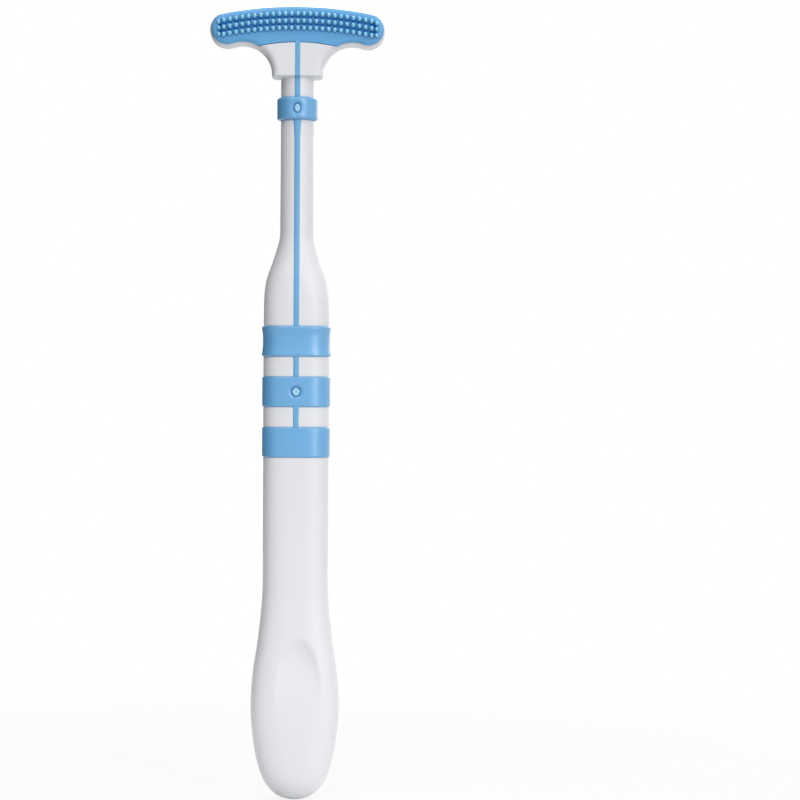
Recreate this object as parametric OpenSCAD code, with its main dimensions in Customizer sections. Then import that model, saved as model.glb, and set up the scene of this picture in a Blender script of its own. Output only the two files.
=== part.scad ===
// Two-shot tongue scraper: a rigid white moulding with a soft blue moulding on it.
// The handle stands along +Z with the head up. The nubs face -Y and the scraper ribs face +Y.
// The origin is the lowest point of the butt, on the axis of the handle.

/* [Overall] */
// Length from the butt to the top of the head
total_length = 180; // [174:1:186]

/* [Head] */
// Width of the head across its two ends
head_width = 39.7; // [38:0.1:42]
// Radius of the long curve along the top of the head
crown_radius = 88; // [82:1:95]
// Radius of each rounded end of the head
end_radius = 3.9; // [3.8:0.1:4.1]
// Radius of the hollow curve between an end and the stem
throat_radius = 6.6; // [6.2:0.1:6.9]
// Width of the stem block below the head
stem_width = 11.7; // [11:0.1:12.4]
// Height from the underside of the stem block to the top of the head
head_height = 16.3; // [16.2:0.1:17.2]
// Distance from the neck axis to the back of the head
head_back = 3.9; // [3.7:0.1:4.2]
// Distance from the neck axis to the seat of the soft pad
seat_front = 3.3; // [3:0.1:3.5]
// Distance from the neck axis to the front of the stem block
stem_front = 4.5; // [4.4:0.1:4.7]

/* [Tongue pad] */
// Thickness of the soft pad
pad_thickness = 1; // [0.8:0.1:1.1]
// Distance from the top of the head to the lower edge of the pad, on the centre line
pad_height = 8.35; // [8.1:0.05:8.5]
// Radius of the arched lower edge of the pad
arch_radius = 40; // [36:1:44]

/* [Nubs] */
// Columns of nubs on each side of the middle one, without the end column
side_columns = 12; // [10:1:12]
// Distance between two columns
column_pitch = 1.39; // [1.3:0.01:1.39]
// Distance between the last two columns at each end
end_pitch = 1.12; // [1.05:0.01:1.12]
// Distance from the top of the head to the middle row, on the centre line
middle_row_drop = 3.65; // [3.55:0.05:3.7]
// Distance between two rows
row_pitch = 1.6; // [1.55:0.01:1.65]
// Radius of the curve that each row follows
row_radius = 88; // [84:1:92]
// Width of a nub at its base
nub_width = 0.96; // [0.8:0.01:1]
// Height of a nub's oval base along the handle
nub_tall = 1.2; // [1:0.01:1.22]
// How far a nub stands out of the pad
nub_length = 1.3; // [1:0.1:1.5]

/* [Scraper ribs] */
// Distance from the head's edge to the middle of the long rib
long_rib_inset = 2.35; // [2.2:0.05:2.4]
// Distance between the middles of the two ribs
rib_gap = 3.95; // [3.7:0.05:4.1]
// Half angle of the short rib about the centre of the crown curve
short_rib_angle = 7.15; // [6:0.05:7.5]
// Width of a rib
rib_width = 1.4; // [1.2:0.1:1.5]
// How far a rib stands out of the back
rib_height = 1.3; // [1:0.1:1.5]

/* [Neck and collar] */
// Radius of the neck under the head
neck_radius = 3.75; // [3.7:0.01:3.8]
// Distance from the stem block down to the collar
stub_length = 4.4; // [4:0.1:6]
// Length of the collar
collar_length = 5.1; // [4:0.1:6]
// How far the collar stands out of the neck
collar_proud = 0.85; // [0.6:0.05:1]

/* [Grip bands] */
// Height of the lower edge of the lowest band
first_band = 77.8; // [74:0.1:78]
// Length of one band
band_length = 6.8; // [6:0.1:7.2]
// Distance from one band to the next
band_pitch = 11.4; // [11:0.1:11.6]
// How far a band stands out of the handle
band_proud = 0.25; // [0.15:0.05:0.35]
// Depth of the groove that holds a band
band_depth = 0.8; // [0.6:0.1:1]

/* [Thumb scoops] */
// Depth that the arch and the fade work on; about 0.7 of it is left at a scoop's deepest place
scoop_depth = 1.4; // [1:0.1:1.6]
// Half width of a scoop
scoop_wide = 5.2; // [4.8:0.1:5.6]
// Distance of a scoop from the middle of its face, to the right as one looks at that face
scoop_x = 0.8; // [0:0.1:1.5]
// Height of the widest place of a scoop above the butt
scoop_z = 24; // [23:0.5:25]
// Height of the top of the arch
scoop_top = 37; // [36:0.5:38]
// Height of the foot, where a scoop fades out
scoop_foot = 6; // [5:0.5:8]

/* [Hidden] */
white = "#eef0f4";
blue = "#66b0e6";

// Handle sections from the butt up: height, half width, half depth and squareness
stations = [
    [0, 1, 0.9, 2],
    [1.5, 4.75, 4.7, 2.2],
    [4.5, 7.1, 6.2, 2.6],
    [9, 8.6, 6.6, 2.9],
    [15, 9.6, 6.9, 3.1],
    [21, 10, 7, 3.2],
    [28, 9.65, 7, 3.2],
    [36, 8.5, 6.75, 3.1],
    [46, 7.5, 6.4, 3],
    [60, 7.4, 6.3, 3],
    [112, 7.4, 6.2, 3],
    [117.5, 6.95, 5.9, 2.5],
    [122.5, 5.3, 4.85, 2.15],
    [127, 3.98, 3.95, 2],
    [131, neck_radius + 0.05, neck_radius + 0.05, 2],
    [total_length - head_height + 2, neck_radius, neck_radius, 2]
];
sides = 40;
stem_z = total_length - head_height;
collar_top = stem_z - stub_length;
collar_bottom = collar_top - collar_length;
collar_depth = 0.5;
body_top = stem_z + 2;

// Blended value of one station column at height z
function span_of(z, i = 0) = i >= len(stations) - 2 || z < stations[i + 1][0] ? i : span_of(z, i + 1);
function squared(i, k) = pow(stations[i][k], 2);
function rate(i, j, k) = (squared(j, k) - squared(i, k)) / (stations[j][0] - stations[i][0]);
function slope(i, k) =
    i == 0 ? 2 * rate(0, 1, k) - rate(0, 2, k) :
    i == len(stations) - 1 ? rate(i - 1, i, k) : rate(i - 1, i + 1, k);
function blend(z, k) =
    let (i = span_of(z), h = stations[i + 1][0] - stations[i][0], t = (z - stations[i][0]) / h)
    sqrt(
        (1 - 3 * t * t + 2 * t * t * t) * squared(i, k)
        + (3 * t * t - 2 * t * t * t) * squared(i + 1, k)
        + (t - 2 * t * t + t * t * t) * h * slope(i, k)
        + (t * t * t - t * t) * h * slope(i + 1, k)
    );

// Depth of the thumb scoop: steep under its arched top, fading out towards its foot
// face is -1 at the front of the handle and 1 at its back
function scoop(x, z, face) =
    let (
        half = (z > scoop_z ? scoop_top : scoop_foot) - scoop_z,
        reach = norm([(x + face * scoop_x) / scoop_wide, (z - scoop_z) / half]),
        t = min(max((z - scoop_foot) / (scoop_top - scoop_foot), 0), 1),
        fade = pow(t * t * (3 - 2 * t), 3)
    )
    scoop_depth * fade * max(1 - pow(reach, 4), 0);

// One ring round the handle at height z, standing out of its surface by o
function power(v, n) = sign(v) * pow(abs(v), 2 / n);
function section(z, o) =
    let (a = blend(z, 1) + o, b = blend(z, 2) + o, n = blend(z, 3))
    [for (i = [0 : sides - 1])
        let (
            x = a * power(cos(i * 360 / sides), n),
            y = b * power(sin(i * 360 / sides), n)
        )
        [x, y - sign(y) * scoop(x, z, sign(y)), z]];
function front(z) = -blend(z, 2);

// Solid through a list of rings with the same number of points, closed by convex ends
function flat(list) = [for (ring = list) each ring];
module loft(rings) {
    n = len(rings[0]);
    last = (len(rings) - 1) * n;
    polyhedron(
        points = flat(rings),
        faces = concat(
            [[for (i = [0 : n - 1]) i]],
            [for (k = [0 : len(rings) - 2]) for (i = [0 : n - 1])
                let (a = k * n + i, b = k * n + (i + 1) % n)
                each [[a, a + n, b + n], [a, b + n, b]]],
            [[for (i = [n - 1 : -1 : 0]) last + i]]
        )
    );
}

// Sleeve round the handle: profile is a closed list of [height, distance out of the surface]
module sleeve(profile) {
    rings = [for (p = profile) section(p[0], p[1])];
    m = len(profile);
    polyhedron(
        points = flat(rings),
        faces = [for (k = [0 : m - 1]) for (i = [0 : sides - 1])
            let (j = (i + 1) % sides, a = k * sides, b = ((k + 1) % m) * sides)
            each [[a + i, b + i, b + j], [a + i, b + j, a + j]]]
    );
}

// Centres of the arcs of the head's outline, on its right half, from the top of the head
end_x = head_width / 2 - end_radius;
end_z = -crown_radius + sqrt(pow(crown_radius - end_radius, 2) - end_x * end_x);
throat_x = stem_width / 2 + throat_radius;
throat_z = end_z - sqrt(pow(end_radius + throat_radius, 2) - pow(end_x - throat_x, 2));
corner_radius = 1;
sharpest_corner = 0.05;
arch_z = -pad_height - arch_radius;
crown_angle = atan2(end_z + crown_radius, end_x);
throat_angle = atan2(end_z - throat_z, end_x - throat_x);
arc_steps = 10;
corner_steps = 4;
// The throat and corner arcs stop this angle short of each other, so the outline never stands upright
seam = 3;

function around(x, z, r, a) = [x + r * cos(a), z + r * sin(a)];
function steps(from, to, n) = [for (i = [0 : n]) from + (to - from) * i / n];

// Upper edge of the head at x, for an outline drawn in by s
function crown_z(x, s) =
    x > end_x + (end_radius - s) * cos(crown_angle)
        ? end_z + sqrt(max(pow(end_radius - s, 2) - pow(x - end_x, 2), 0))
        : -crown_radius + sqrt(pow(crown_radius - s, 2) - x * x);
function arch_at(x, e) = arch_z + sqrt(pow(arch_radius + e, 2) - x * x);

// Angle on the throat curve where the arched edge of the pad meets it
function arch_angle(s, e) =
    let (
        r1 = arch_radius + e,
        r2 = throat_radius + s,
        v = [throat_x, throat_z - arch_z],
        d = norm(v),
        t = (r1 * r1 - r2 * r2 + d * d) / (2 * d),
        h = sqrt(r1 * r1 - t * t),
        p = [t * v[0] - h * v[1], t * v[1] + h * v[0]] / d
    )
    atan2(p[1] - v[1], p[0] - v[0]);

// Lower edges of the right half from the outer end to the centre line
function end_edge(s) =
    [for (a = steps(0, throat_angle - 180, arc_steps)) around(end_x, end_z, end_radius - s, a)];
function throat_edge(s, from, to) =
    [for (a = steps(from, to, arc_steps)) around(throat_x, throat_z, throat_radius + s, a)];
function stem_edge(s, lift) =
    let (r = max(corner_radius - s, sharpest_corner))
    concat(
        [for (a = steps(-seam, seam - 90, corner_steps))
            around(stem_width / 2 - s - r, lift + r - head_height, r, a)],
        [[0, lift - head_height]]
    );
function tail(list) = [for (i = [1 : len(list) - 1]) list[i]];

// Half outlines as [x, lower z, upper z]: the whole head, the pad and the front of the stem
function head_half(s) =
    [for (p = concat(end_edge(s), tail(throat_edge(s, throat_angle, 180 - seam)), stem_edge(s, s)))
        [p[0], p[1], crown_z(p[0], s)]];
function pad_half(s, e) =
    let (
        meet = arch_angle(s, e),
        x = throat_x + (throat_radius + s) * cos(meet),
        arch = [for (v = tail(steps(x, 0, arc_steps))) [v, arch_at(v, e)]]
    )
    [for (p = concat(end_edge(s), tail(throat_edge(s, throat_angle, meet)), arch))
        [p[0], p[1], crown_z(p[0], s)]];
function stem_half(s, e, lift) =
    [for (p = concat(throat_edge(s, arch_angle(s, -e), 180 - seam), stem_edge(s, lift)))
        [p[0], p[1], arch_at(p[0], -e)]];

// Slab through half outlines, each given as [distance along Y, half outline]
function mirrored(v) = [-v[0], v[1], v[2]];
function slab_ring(y, half) =
    let (n = len(half) - 1)
    concat(
        [for (i = [0 : n]) [half[i][0], y, half[i][1] + total_length]],
        [for (i = [n - 1 : -1 : 0]) [-half[i][0], y, half[i][1] + total_length]],
        [for (i = [1 : n]) [-half[i][0], y, half[i][2] + total_length]],
        [for (i = [n - 1 : -1 : 1]) [half[i][0], y, half[i][2] + total_length]]
    );
module slab(layers) {
    rings = [for (layer = layers) slab_ring(layer[0], layer[1])];
    m = len(rings[0]);
    half_m = m / 2;
    last = (len(rings) - 1) * m;
    strips = [for (j = [0 : half_m - 1])
        [j, j + 1, (m - j - 1) % m, (m - j) % m]];
    polyhedron(
        points = flat(rings),
        faces = concat(
            [for (q = strips) each q[0] == q[3] ? [[q[0], q[1], q[2]]] :
                q[1] == q[2] ? [[q[0], q[1], q[3]]] : [[q[0], q[1], q[2]], [q[0], q[2], q[3]]]],
            [for (k = [0 : len(rings) - 2]) for (i = [0 : m - 1])
                let (a = k * m + i, b = k * m + (i + 1) % m)
                each [[a, a + m, b + m], [a, b + m, b]]],
            [for (q = strips) each q[0] == q[3] ? [[q[2], q[1], q[0]] + last * [1, 1, 1]] :
                q[1] == q[2] ? [[q[3], q[1], q[0]] + last * [1, 1, 1]] :
                [[q[2], q[1], q[0]] + last * [1, 1, 1], [q[3], q[2], q[0]] + last * [1, 1, 1]]]
        )
    );
}

flare_heights = [114 : 1.8 : 131];
// Heights of the rings of the handle, with the grooves for the soft bands and the collar
function groove(low, high, depth) = [[low, 0], [low, -depth], [high, -depth], [high, 0]];
function band_low(i) = first_band + i * band_pitch;
handle_rings = concat(
    [for (i = [0 : 8]) [9 * i * i / 64, 0]],
    [for (z = [11 : 2 : 39]) [z, 0]],
    [[42, 0], [46, 0], [52, 0], [60, 0]],
    [for (i = [0 : 2]) each groove(band_low(i), band_low(i) + band_length, band_depth)],
    [[112, 0]],
    [for (z = flare_heights) [z, 0]],
    groove(collar_bottom, collar_top, collar_depth),
    [[body_top, 0]]
);

// Edge profile of a band: z0 and z1 are its ends, and lip raises both edges over the middle
function band_profile(z0, z1, lip) =
    let (m = (z0 + z1) / 2, top = band_proud + lip)
    [
        [z0, -band_depth], [z0, 0.5 * top], [z0 + 0.25, top], [z0 + 0.7, top],
        [z0 + 1.6, band_proud - 0.6 * lip], [m, band_proud - lip], [z1 - 1.6, band_proud - 0.6 * lip],
        [z1 - 0.7, top], [z1 - 0.25, top], [z1, 0.5 * top], [z1, -band_depth]
    ];
module grip_band(i, lip) {
    color(blue)
        sleeve(band_profile(band_low(i), band_low(i) + band_length, lip));
}

// Raised ring and nib that the injection gate leaves on the front of a soft band
gate_ring = 1.6;
gate_well = 1;
gate_nib = 0.5;
module gate_mark(z, y) {
    translate([0, y, z])
        rotate([90, 0, 0])
            difference() {
                translate([0, 0, -0.6])
                    cylinder(h = 0.75, r = gate_ring, $fn = 40);
                difference() {
                    translate([0, 0, -0.1])
                        cylinder(h = 1, r = gate_well, $fn = 32);
                    translate([0, 0, -0.2])
                        cylinder(h = 0.32, r = gate_nib, $fn = 24);
                }
            }
}

// Soft runner in its channel on the front of the handle, between two heights
runner_half = 0.62;
runner_depth = 0.45;
runner_crest = 0.2;
wedge_half = 0.24;
wedge_length = 4.5;
function runner_half_at(z) =
    runner_half + wedge_half * min(max(1 - (collar_bottom - z) / wedge_length, 0), 1);
function runner_ring(z) =
    let (w = runner_half_at(z), y = front(z))
    [
        [w, y + runner_depth, z], [-w, y + runner_depth, z], [-w, y - 0.05, z],
        [0, y - runner_crest, z], [w, y - 0.05, z]
    ];
module runner(heights) {
    color(blue)
        loft([for (z = heights) runner_ring(z)]);
}

// Points of a rib at one place along it, from its section's [distance sideways, y]
function rib_section(scale) =
    [for (p = [[-0.5, -0.4], [-0.5, 0.7], [-0.32, 0.94], [0, 1], [0.32, 0.94], [0.5, 0.7], [0.5, -0.4]])
        [p[0] * rib_width * scale, head_back + (p[1] < 0 ? p[1] : p[1] * rib_height)]];
// Place on the head's outline drawn in by s: along the crown, round an end, then straight down
hook_radius = end_radius - long_rib_inset;
function edge_point(a, s) =
    let (side = sign(a), turn = 90 - abs(a))
    turn > crown_angle
        ? [(crown_radius - s) * sin(a), (crown_radius - s) * cos(a) - crown_radius]
        : turn > 0
            ? [side * (end_x + (end_radius - s) * cos(turn)), end_z + (end_radius - s) * sin(turn)]
            : [side * (end_x + end_radius - s), end_z + turn * PI / 180 * hook_radius];
function rib_ring(a, s, scale) =
    [for (p = rib_section(scale)) let (q = edge_point(a, s - p[0])) [q[0], p[1], q[1] + total_length]];
// A round end takes up half the rib's width of arc, given here as an angle
rib_end = [[90, 0.25], [65, 0.42], [40, 0.77], [15, 0.97]];
module rib(angles, s, end_angle) {
    first = angles[0];
    last = angles[len(angles) - 1];
    color(blue)
        loft(concat(
            [for (e = rib_end) rib_ring(first - end_angle * sin(e[0]), s, e[1])],
            [for (a = angles) rib_ring(a, s, 1)],
            [for (i = [len(rib_end) - 1 : -1 : 0])
                rib_ring(last + end_angle * sin(rib_end[i][0]), s, rib_end[i][1])]
        ));
}
// How far the long rib runs straight down past the widest point of the head
hook_drop = 1.4;
hook_angle = hook_drop / hook_radius * 180 / PI;
function reversed(list) = [for (i = [len(list) - 1 : -1 : 0]) list[i]];
function rib_end_angle(r) = rib_width / 2 / r * 180 / PI;

// Rows of nubs: columns run from one end of the head to the other
row_thickness = 0.35;
columns = side_columns + 1;
function at_end(i) = abs(i) > side_columns;
function column_x(i) = at_end(i) ? sign(i) * (side_columns * column_pitch + end_pitch) : i * column_pitch;
function nub_spot(i, row) =
    let (x = column_x(i), pitch = row_pitch * (at_end(i) ? 0.85 : 1))
    [x, row * pitch - middle_row_drop - x * x / (2 * row_radius)];
pad_front = seat_front + pad_thickness;
nub_levels = [[-0.1, 1], [0.5, 0.9], [0.85, 0.65], [1, 0.25]];
nub_sides = 8;
module nub(spot, squeeze) {
    loft([for (level = nub_levels)
        [for (k = [0 : nub_sides - 1])
            [
                spot[0] + nub_width / 2 * squeeze * level[1] * cos(k * 360 / nub_sides),
                -pad_front - level[0] * nub_length,
                spot[1] + total_length + nub_tall / 2 * squeeze * level[1] * sin(k * 360 / nub_sides)
            ]]]);
}
function backing_reach(i) = nub_tall / 2 * (at_end(i) ? 0.8 : 1);
module nub_backing(row) {
    tip = [nub_width / 2, 0];
    outline = concat(
        [nub_spot(-columns, row) - tip],
        [for (i = [-columns : columns]) nub_spot(i, row) + [0, backing_reach(i)]],
        [nub_spot(columns, row) + tip],
        [for (i = [columns : -1 : -columns]) nub_spot(i, row) - [0, backing_reach(i)]]
    );
    translate([0, row_thickness - pad_front, total_length])
        rotate([90, 0, 0])
            linear_extrude(height = row_thickness)
                polygon(outline);
}
module nub_row(row) {
    color(blue)
        union() {
            nub_backing(row);
            for (i = [-columns : columns])
                nub(nub_spot(i, row), at_end(i) ? 0.88 : 1);
        }
}

// Rigid moulding

// The white head behind the pad: distance back from the neck axis, and how far the edge draws in
head_layers = [
    [-seat_front, 0.35], [-2.6, 0.14], [-1.8, 0], [2.4, 0.02], [2.9, 0.1], [3.3, 0.3],
    [3.6, 0.55], [3.82, 0.85], [head_back, 1.2]
];
// The raised front of the stem block: distance, then how far its sides, arch and foot draw in
stem_layers = [
    [-2.8, 0.4, 0, 0.06], [-seat_front, 0.37, 0, 0.03], [0.3 - stem_front, 0.42, 0.02, 0.05],
    [0.1 - stem_front, 0.58, 0.14, 0.16], [-stem_front, 0.9, 0.35, 0.4]
];
module handle() {
    loft([for (r = handle_rings) section(r[0], r[1])]);
}
module head_block() {
    slab([for (layer = head_layers) [layer[0], head_half(layer[1])]]);
}
module stem_block() {
    slab([for (i = [len(stem_layers) - 1 : -1 : 0])
        [stem_layers[i][0], stem_half(stem_layers[i][1], stem_layers[i][2], stem_layers[i][3])]]);
}
module body_moulding() {
    color(white)
        difference() {
            union() {
                handle();
                head_block();
                stem_block();
            }
            stem_runner();
            neck_runner();
            upper_link();
            lower_link();
            long_scraper_rib();
            short_scraper_rib();
            rib_feed_posts();
        }
}

// Soft moulding

pad_layers = [[1, 0.68, 0.3], [0.97, 0.54, 0.16], [0.85, 0.44, 0.06], [0.65, 0.38, 0.01], [0, 0.35, 0]];
module tongue_pad() {
    color(blue)
        difference() {
            slab([for (layer = pad_layers)
                [-seat_front - layer[0] * pad_thickness, pad_half(layer[1], layer[2])]]);
            for (row = [-1 : 1])
                nub_backing(row);
        }
}
module nub_row_top() {
    nub_row(1);
}
module nub_row_middle() {
    nub_row(0);
}
module nub_row_bottom() {
    nub_row(-1);
}

// The runner on the stem block steps back to the neck at the block's lower edge
module stem_runner() {
    stem_proud = stem_front + 0.12;
    neck_proud = neck_radius + 0.15;
    color(blue)
        translate([-runner_half, 0, 0])
            rotate([90, 0, 90])
                linear_extrude(height = 2 * runner_half)
                    polygon([
                        [-seat_front, collar_top], [-seat_front, total_length + arch_at(runner_half, 0)],
                        [-stem_proud, total_length + arch_at(runner_half, 0)], [-stem_proud, stem_z + 0.5],
                        [-neck_proud, stem_z - 0.5], [-neck_proud, collar_top]
                    ]);
}
module neck_collar() {
    low = collar_bottom;
    high = collar_top;
    color(blue)
        union() {
            sleeve([
                [low, -collar_depth], [low, 0.4 * collar_proud], [low + 0.15, 0.8 * collar_proud],
                [low + 0.5, collar_proud], [high - 0.5, collar_proud], [high - 0.15, 0.8 * collar_proud],
                [high, 0.4 * collar_proud], [high, -collar_depth]
            ]);
            gate_mark((low + high) / 2, front(low) - collar_proud);
        }
}
module neck_runner() {
    runner(concat(
        [band_low(2) + band_length, 112],
        [for (z = flare_heights) z],
        [collar_bottom - wedge_length, collar_bottom]
    ));
}
module upper_grip_band() {
    grip_band(2, 0.12);
}
module upper_link() {
    runner([band_low(1) + band_length, band_low(2)]);
}
module middle_grip_band() {
    union() {
        grip_band(1, 0);
        color(blue)
            gate_mark(band_low(1) + band_length / 2, front(band_low(1)) - band_proud);
    }
}
module lower_link() {
    runner([band_low(0) + band_length, band_low(1)]);
}
module lower_grip_band() {
    grip_band(0, 0);
}
module long_scraper_rib() {
    corner = 90 - crown_angle;
    bend = concat(steps(corner + 1, 90, 6), [90 + hook_angle]);
    rib(
        concat(-1 * reversed(bend), steps(0.5 - corner, corner - 0.5, 12), bend),
        long_rib_inset,
        rib_end_angle(hook_radius)
    );
}
module short_scraper_rib() {
    inset = long_rib_inset + rib_gap;
    rib(steps(-short_rib_angle, short_rib_angle, 10), inset, rib_end_angle(crown_radius - inset));
}

// Posts through the head that feed the ribs from the pad
post_radius = 0.5;
long_post_angle = 9;
short_post_angle = 4.5;
module feed_post(a, s) {
    spot = edge_point(a, s);
    translate([spot[0], -seat_front, spot[1] + total_length])
        rotate([-90, 0, 0])
            cylinder(h = seat_front + head_back - 0.4, r = post_radius, $fn = 24);
}
module rib_feed_posts() {
    color(blue)
        for (side = [-1, 1]) {
            feed_post(side * long_post_angle, long_rib_inset);
            feed_post(side * short_post_angle, long_rib_inset + rib_gap);
        }
}

body_moulding();
tongue_pad();
nub_row_top();
nub_row_middle();
nub_row_bottom();
stem_runner();
neck_collar();
neck_runner();
upper_grip_band();
upper_link();
middle_grip_band();
lower_link();
lower_grip_band();
long_scraper_rib();
short_scraper_rib();
rib_feed_posts();
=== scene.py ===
from math import atan2, cos, hypot, pi, radians, sin, sqrt

import bmesh
import bpy
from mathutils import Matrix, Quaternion, Vector


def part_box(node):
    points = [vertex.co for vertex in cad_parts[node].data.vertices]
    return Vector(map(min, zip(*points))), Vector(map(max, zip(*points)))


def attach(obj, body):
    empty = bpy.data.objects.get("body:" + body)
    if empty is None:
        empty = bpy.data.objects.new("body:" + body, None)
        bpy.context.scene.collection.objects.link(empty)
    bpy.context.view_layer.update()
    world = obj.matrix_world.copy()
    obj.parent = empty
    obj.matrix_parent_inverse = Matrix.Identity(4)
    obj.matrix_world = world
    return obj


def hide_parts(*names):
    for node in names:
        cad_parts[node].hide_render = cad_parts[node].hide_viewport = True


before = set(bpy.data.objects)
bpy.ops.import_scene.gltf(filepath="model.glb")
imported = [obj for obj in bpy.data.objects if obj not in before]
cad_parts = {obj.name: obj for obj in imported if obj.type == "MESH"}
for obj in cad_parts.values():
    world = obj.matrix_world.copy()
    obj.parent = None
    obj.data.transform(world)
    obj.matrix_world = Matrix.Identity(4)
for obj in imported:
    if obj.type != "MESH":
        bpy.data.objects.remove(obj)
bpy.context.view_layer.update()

# The pieces are made in millimetres, in the frame of the part: +Z is up and the nubs face -Y.
# The floor, the flag and the lamps are in metres.
MM = 0.001

BAND_NODES = ("lower_grip_band", "middle_grip_band", "upper_grip_band")


def node_box(name):
    low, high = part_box(name)
    return low / MM, high / MM


body_low, body_high = node_box("body_moulding")
collar_low, collar_high = node_box("neck_collar")
collar_bottom = collar_low.z
collar_top = collar_high.z
bands = [(low.z, high.z) for low, high in map(node_box, BAND_NODES)]
HEAD_TOP = body_high.z
HEAD_WIDTH = body_high.x - body_low.x

# Head: a plate with an arched crown and round ends, whose throats run down to the stem block
HEAD_HEIGHT = 16.3
HEAD_BACK = 3.9
CROWN_RADIUS = 88
END_RADIUS = 3.9
THROAT_RADIUS = 6.6
STEM_WIDTH = 11.7
STEM_FRONT = 4.5
STEM_Z = HEAD_TOP - HEAD_HEIGHT
CORNER_RADIUS = 1
SHARPEST_CORNER = 0.05
SEAM = radians(3)  # lean of the throat where it meets the corner of the stem block

# Pad and nubs: three rows, which have one column more at each end, closer and smaller
SEAT_FRONT = 3.3
PAD_THICKNESS = 1
PAD_FRONT = SEAT_FRONT + PAD_THICKNESS
PAD_HEIGHT = 8.35
ARCH_RADIUS = 40
SIDE_COLUMNS = 12
COLUMN_PITCH = 1.39
END_PITCH = 1.12
MIDDLE_ROW_DROP = 3.65
ROW_PITCH = 1.6
ROW_RADIUS = 88
NUB_WIDTH = 0.96
NUB_TALL = 1.2
NUB_LENGTH = 1.3

# Scraper ribs, and the posts that feed them through the head
LONG_RIB_INSET = 2.35
RIB_GAP = 3.95
SHORT_RIB_INSET = LONG_RIB_INSET + RIB_GAP
SHORT_RIB_ANGLE = radians(7.15)
RIB_WIDTH = 1.4
RIB_HEIGHT = 1.3
HOOK_RADIUS = END_RADIUS - LONG_RIB_INSET
HOOK_DROP = 1.4
POST_RADIUS = 0.5
LONG_POST_ANGLE = radians(9)
SHORT_POST_ANGLE = radians(4.5)

# Handle: stations from the tip of the butt up into the stem block; squareness 2 is an ellipse
NECK_BURIED = 2
BODY_TOP = STEM_Z + NECK_BURIED
HEIGHT, HALF_WIDTH, HALF_DEPTH, SQUARENESS = range(4)
HANDLE_STATIONS = [
    [0, 1, 0.9, 2],
    [1.5, 4.75, 4.7, 2.2],
    [4.5, 7.1, 6.2, 2.6],
    [9, 8.6, 6.6, 2.9],
    [15, 9.6, 6.9, 3.1],
    [21, 10, 7, 3.2],
    [28, 9.65, 7, 3.2],
    [36, 8.5, 6.75, 3.1],
    [46, 7.5, 6.4, 3],
    [60, 7.4, 6.3, 3],
    [112, 7.4, 6.2, 3],
    [117.5, 6.95, 5.9, 2.5],
    [122.5, 5.3, 4.85, 2.15],
    [127, 3.98, 3.95, 2],
    [131, 3.8, 3.8, 2],
    [BODY_TOP, 3.75, 3.75, 2],
]

# Thumb scoops, one in each face of the butt
SCOOP_DEPTH = 1.4
SCOOP_WIDE = 5.2  # half of its width
SCOOP_X = 0.8
SCOOP_Z = 24
SCOOP_TOP = 37
SCOOP_FOOT = 6
SCOOP_ARCH_POWER = 4
SCOOP_FADE_POWER = 3

# Bands, collar and runners: how far they stand proud, and how deep they sit
BAND_PROUD = 0.25
BAND_DEPTH = 0.8
UPPER_LIP = 0.12
COLLAR_PROUD = 0.85
COLLAR_DEPTH = 0.5
RUNNER_HALF = 0.62
RUNNER_DEPTH = 0.45
RUNNER_CREST = 0.2
WEDGE_HALF = 0.24
WEDGE_LENGTH = 4.5

# Fineness of the meshes; the flare between grip and neck has levels of its own
HANDLE_SIDES = 144
FLARE_LOW = 116
FLARE_HIGH = 131
FLARE_STEPS = 26
ARC_STEPS = 26
CORNER_STEPS = 8
ARCH_STEPS = 24
FOOT_STEPS = 6


# Small helpers

def steps(first, last, count):
    """Evenly spaced values from first to last, both included."""
    return [first + (last - first) * i / count for i in range(count + 1)]


def smooth(t):
    """A soft step: 0 up to t = 0, and 1 from t = 1 on."""
    t = min(max(t, 0), 1)
    return t * t * (3 - 2 * t)


def sign(v):
    return (v > 0) - (v < 0)


def between(pair, t):
    return pair[0] + (pair[1] - pair[0]) * t


def even_angles(count):
    return [2 * pi * i / count for i in range(count)]


def fine_front_angles(half, fine, coarse):
    """Angles round the handle, closer together on a front stretch that reaches half each way."""
    front = steps(-pi / 2 - half, -pi / 2 + half, fine)
    return front + steps(-pi / 2 + half, 3 * pi / 2 - half, coarse)[1:-1]


# Surface of the handle

def station_value(i, column):
    """Half widths and half depths are blended as squares, which rounds the tip of the butt."""
    value = HANDLE_STATIONS[i][column]
    return value if column == SQUARENESS else value ** 2


def slope(i, j, column):
    rise = station_value(j, column) - station_value(i, column)
    return rise / (HANDLE_STATIONS[j][HEIGHT] - HANDLE_STATIONS[i][HEIGHT])


def tangent(i, column):
    last = len(HANDLE_STATIONS) - 1
    if i == 0:
        return 2 * slope(0, 1, column) - slope(0, 2, column)
    if i == last:
        return slope(last - 1, last, column)
    return slope(i - 1, i + 1, column)


def blend(z, column):
    """A column of the stations at height z, on a smooth curve through them."""
    last = len(HANDLE_STATIONS) - 1
    z = min(max(z, 0), HANDLE_STATIONS[last][HEIGHT])
    i = 0
    while i < last - 1 and z > HANDLE_STATIONS[i + 1][HEIGHT]:
        i += 1
    foot = HANDLE_STATIONS[i][HEIGHT]
    span = HANDLE_STATIONS[i + 1][HEIGHT] - foot
    t = (z - foot) / span
    value = (
        station_value(i, column) * (2 * t ** 3 - 3 * t * t + 1)
        + station_value(i + 1, column) * (3 * t * t - 2 * t ** 3)
        + tangent(i, column) * span * (t ** 3 - 2 * t * t + t)
        + tangent(i + 1, column) * span * (t ** 3 - t * t)
    )
    return value if column == SQUARENESS else sqrt(value)


def section(z):
    return blend(z, HALF_WIDTH), blend(z, HALF_DEPTH), blend(z, SQUARENESS)


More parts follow.
